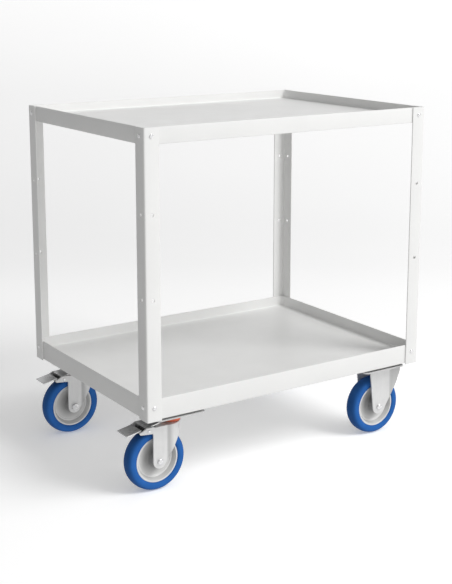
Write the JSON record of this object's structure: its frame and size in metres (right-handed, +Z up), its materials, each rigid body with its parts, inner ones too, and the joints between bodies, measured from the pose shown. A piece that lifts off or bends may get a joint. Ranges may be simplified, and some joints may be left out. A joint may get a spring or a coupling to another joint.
{
  "type": "utility cart",
  "caption": "Tiered sheet-steel utility cart: rimmed trays bolted into angle posts, rolling on swivel casters with brake pedals and on fixed casters with blue tyres.",
  "frame": {"origin": "on the floor under the middle of the overall box, pedals and screw heads included", "axes": "+Z up; -Y the front long side; -X the end with the swivel casters and brake pedals, +X the end with the fixed casters"},
  "size_m": [0.8802, 0.6266, 0.906],
  "materials": {
    "powder_coat": "satin white powder coat on folded sheet steel",
    "zinc_plate": "bright zinc plate on pressed sheet",
    "steel": "plated steel fasteners",
    "brake_steel": "dark grey pressed sheet",
    "blue_rubber": "satin blue elastic rubber",
    "hub_plastic": "light grey moulded plastic",
    "seal_plastic": "orange-red moulded plastic",
    "shoe_rubber": "black rubber"
  },
  "bodies": {
    "cart": {"post_front_left": "powder_coat", "post_front_right": "powder_coat", "post_rear_left": "powder_coat", "post_rear_right": "powder_coat", "top_tray": "powder_coat", "bottom_tray": "powder_coat", "caster_rail_left": "powder_coat", "caster_rail_right": "powder_coat", "screw_top_front_left_face": "steel", "screw_top_front_left_end": "steel", "screw_top_front_right_face": "steel", "screw_top_front_right_end": "steel", "screw_top_rear_left_face": "steel", "screw_top_rear_left_end": "steel", "screw_top_rear_right_face": "steel", "screw_top_rear_right_end": "steel", "screw_bottom_front_left_face": "steel", "screw_bottom_front_left_end": "steel", "screw_bottom_front_right_face": "steel", "screw_bottom_front_right_end": "steel", "screw_bottom_rear_left_face": "steel", "screw_bottom_rear_left_end": "steel", "screw_bottom_rear_right_face": "steel", "screw_bottom_rear_right_end": "steel", "front_swivel_plate": "zinc_plate", "front_swivel_kingpin": "steel", "rear_swivel_plate": "zinc_plate", "rear_swivel_kingpin": "steel", "front_fixed_bracket": "zinc_plate", "front_fixed_axle": "steel", "front_fixed_axle_nut": "steel", "front_fixed_axle_sleeve": "steel", "rear_fixed_bracket": "zinc_plate", "rear_fixed_axle": "steel", "rear_fixed_axle_nut": "steel", "rear_fixed_axle_sleeve": "steel"},
    "front_fork": {"front_swivel_fork": "zinc_plate", "front_swivel_seal": "seal_plastic", "front_swivel_axle": "steel", "front_swivel_axle_nut": "steel", "front_swivel_axle_sleeve": "steel", "front_brake_pin": "steel"},
    "rear_fork": {"rear_swivel_fork": "zinc_plate", "rear_swivel_seal": "seal_plastic", "rear_swivel_axle": "steel", "rear_swivel_axle_nut": "steel", "rear_swivel_axle_sleeve": "steel", "rear_brake_pin": "steel"},
    "front_pedal": {"front_brake_pedal": "brake_steel", "front_brake_shoe": "shoe_rubber"},
    "rear_pedal": {"rear_brake_pedal": "brake_steel", "rear_brake_shoe": "shoe_rubber"},
    "front_swivel_wheel": {"front_swivel_hub": "hub_plastic", "front_swivel_tyre": "blue_rubber"},
    "rear_swivel_wheel": {"rear_swivel_hub": "hub_plastic", "rear_swivel_tyre": "blue_rubber"},
    "front_fixed_wheel": {"front_fixed_hub": "hub_plastic", "front_fixed_tyre": "blue_rubber"},
    "rear_fixed_wheel": {"rear_fixed_hub": "hub_plastic", "rear_fixed_tyre": "blue_rubber"}
  },
  "joints": [
    {"name": "front_swivel", "type": "hinge", "parent": "cart", "child": "front_fork", "pos_m": [-0.30215, -0.232, 0.17], "axis": [0, 0, 1], "continuous": true},
    {"name": "rear_swivel", "type": "hinge", "parent": "cart", "child": "rear_fork", "pos_m": [-0.30215, 0.232, 0.17], "axis": [0, 0, 1], "continuous": true},
    {"name": "front_swivel_wheel_spin", "type": "hinge", "parent": "front_fork", "child": "front_swivel_wheel", "pos_m": [-0.35215, -0.232, 0.08], "axis": [0, 1, 0], "continuous": true},
    {"name": "rear_swivel_wheel_spin", "type": "hinge", "parent": "rear_fork", "child": "rear_swivel_wheel", "pos_m": [-0.35215, 0.232, 0.08], "axis": [0, 1, 0], "continuous": true},
    {"name": "front_fixed_wheel_spin", "type": "hinge", "parent": "cart", "child": "front_fixed_wheel", "pos_m": [0.34585, -0.232, 0.08], "axis": [0, 1, 0], "continuous": true},
    {"name": "rear_fixed_wheel_spin", "type": "hinge", "parent": "cart", "child": "rear_fixed_wheel", "pos_m": [0.34585, 0.232, 0.08], "axis": [0, 1, 0], "continuous": true},
    {"name": "front_brake", "type": "hinge", "parent": "front_fork", "child": "front_pedal", "pos_m": [-0.38215, -0.232, 0.1635], "axis": [0, -1, 0], "range_deg": [0, 12]},
    {"name": "rear_brake", "type": "hinge", "parent": "rear_fork", "child": "rear_pedal", "pos_m": [-0.38215, 0.232, 0.1635], "axis": [0, -1, 0], "range_deg": [0, 12]}
  ]
}
